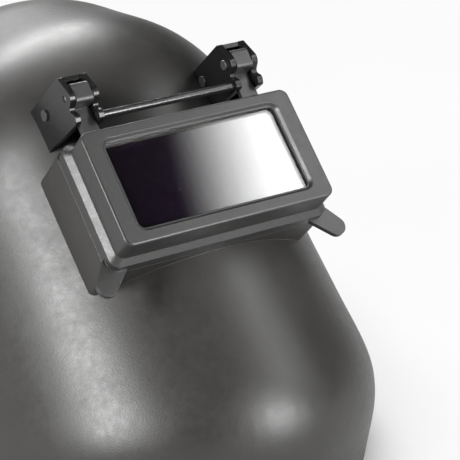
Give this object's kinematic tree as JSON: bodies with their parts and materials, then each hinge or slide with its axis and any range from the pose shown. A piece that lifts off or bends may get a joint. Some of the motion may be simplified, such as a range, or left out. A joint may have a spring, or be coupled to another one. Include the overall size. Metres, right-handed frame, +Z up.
{
  "type": "welding helmet",
  "caption": "Black flip-front welding helmet: moulded shell, lift-up filter frame on sprung hinges, and headgear with side tension knobs and a nape ratchet.",
  "frame": {"origin": "on the floor under the middle of the helmet's box, as it stands on its flat lower rim", "axes": "+X to the wearer's left, -Y to the front, +Z up; the helmet leans back 23 degrees from how it is worn"},
  "size_m": [0.2462, 0.3345, 0.2137],
  "materials": {
    "shell_plastic": "fine-grained matte black moulded thermoplastic",
    "bracket_plastic": "glossy black moulded nylon",
    "bar_plastic": "glossy black rod",
    "flip_plastic": "satin black moulded plastic",
    "frame_plastic": "satin black plastic",
    "black_rivets": "black rivets",
    "band_plastic": "satin black flexible polyethylene",
    "rivet_plastic": "snap-in plastic studs",
    "knob_plastic": "satin black plastic with a fine grain",
    "gear_plastic": "natural acetal",
    "steel": "zinc-plated steel",
    "spring_steel": "blued spring steel",
    "gasket_rubber": "soft black rubber",
    "fibre": "vulcanised fibre",
    "foam": "soft foam under a fine knit",
    "clear_plate": "clear polycarbonate",
    "filter_glass": "dark welding filter glass with a mirror-like face"
  },
  "bodies": {
    "shell": {"helmet_shell": "shell_plastic", "left_hinge_bracket": "bracket_plastic", "right_hinge_bracket": "bracket_plastic", "hinge_bracket_rivets": "black_rivets", "left_hinge_pin": "steel", "right_hinge_pin": "steel", "left_detent_spring": "spring_steel", "right_detent_spring": "spring_steel", "cross_bar": "bar_plastic", "window_gasket": "gasket_rubber", "safety_plate": "clear_plate", "safety_plate_frame": "frame_plastic", "safety_frame_screws": "steel"},
    "flip_frame": {"flip_frame": "flip_plastic", "front_cover_plate": "clear_plate", "filter_gasket": "gasket_rubber", "filter_plate": "filter_glass", "filter_retainer": "frame_plastic", "filter_retainer_screws": "steel"},
    "headgear": {"headband": "band_plastic", "sweatband": "foam", "left_rear_strap": "band_plastic", "right_rear_strap": "band_plastic", "headband_rivets": "rivet_plastic", "left_pivot_arm": "band_plastic", "right_pivot_arm": "band_plastic", "left_pivot_bolt": "knob_plastic", "right_pivot_bolt": "knob_plastic", "left_stop_washer": "frame_plastic", "right_stop_washer": "frame_plastic", "left_friction_washer": "fibre", "right_friction_washer": "fibre", "left_outer_washer": "fibre", "right_outer_washer": "fibre", "left_crown_strap": "band_plastic", "right_crown_strap": "band_plastic", "crown_strap_stud": "rivet_plastic", "ratchet_housing": "frame_plastic", "ratchet_cover": "frame_plastic", "ratchet_cover_screws": "steel", "nape_pad": "foam"},
    "left_tension_knob": {"left_tension_knob": "knob_plastic"},
    "right_tension_knob": {"right_tension_knob": "knob_plastic"},
    "ratchet_knob": {"ratchet_knob": "knob_plastic", "ratchet_pinion": "gear_plastic", "ratchet_pawl": "gear_plastic", "knob_screw": "steel"},
    "left_rack": {"left_rack": "band_plastic"},
    "right_rack": {"right_rack": "band_plastic"}
  },
  "joints": [
    {"name": "lens_flip", "type": "hinge", "parent": "shell", "child": "flip_frame", "pos_m": [0, -0.04505, 0.20392], "axis": [-1, 0, 0], "range_deg": [0, 90], "deforming": ["left_detent_spring", "right_detent_spring"]},
    {"name": "headgear_lift", "type": "hinge", "parent": "shell", "child": "headgear", "pos_m": [0, 0.05872, 0.12246], "axis": [1, 0, 0], "range_deg": [0, 50]},
    {"name": "left_tension_turn", "type": "hinge", "parent": "headgear", "child": "left_tension_knob", "pos_m": [0.115, 0.05872, 0.12246], "axis": [1, 0, 0], "range_deg": [-180, 180]},
    {"name": "right_tension_turn", "type": "hinge", "parent": "headgear", "child": "right_tension_knob", "pos_m": [-0.115, 0.05872, 0.12246], "axis": [-1, 0, 0], "range_deg": [-180, 180]},
    {"name": "ratchet_turn", "type": "hinge", "parent": "headgear", "child": "ratchet_knob", "pos_m": [0, 0.14195, 0.05404], "axis": [0, 0.7193, -0.6947], "range_deg": [-90, 90]},
    {"name": "left_rack_slide", "type": "slide", "parent": "headgear", "child": "left_rack", "axis": [1, 0, 0], "range_m": [-0.0099, 0.0099], "deforming": ["left_rear_strap"]},
    {"name": "right_rack_slide", "type": "slide", "parent": "headgear", "child": "right_rack", "axis": [1, 0, 0], "range_m": [-0.0099, 0.0099], "deforming": ["right_rear_strap"]}
  ],
  "couplings": [
    {"joint": "left_rack_slide", "follows": "ratchet_turn", "m_per_rad": 0.00625},
    {"joint": "right_rack_slide", "follows": "ratchet_turn", "m_per_rad": -0.00625}
  ]
}
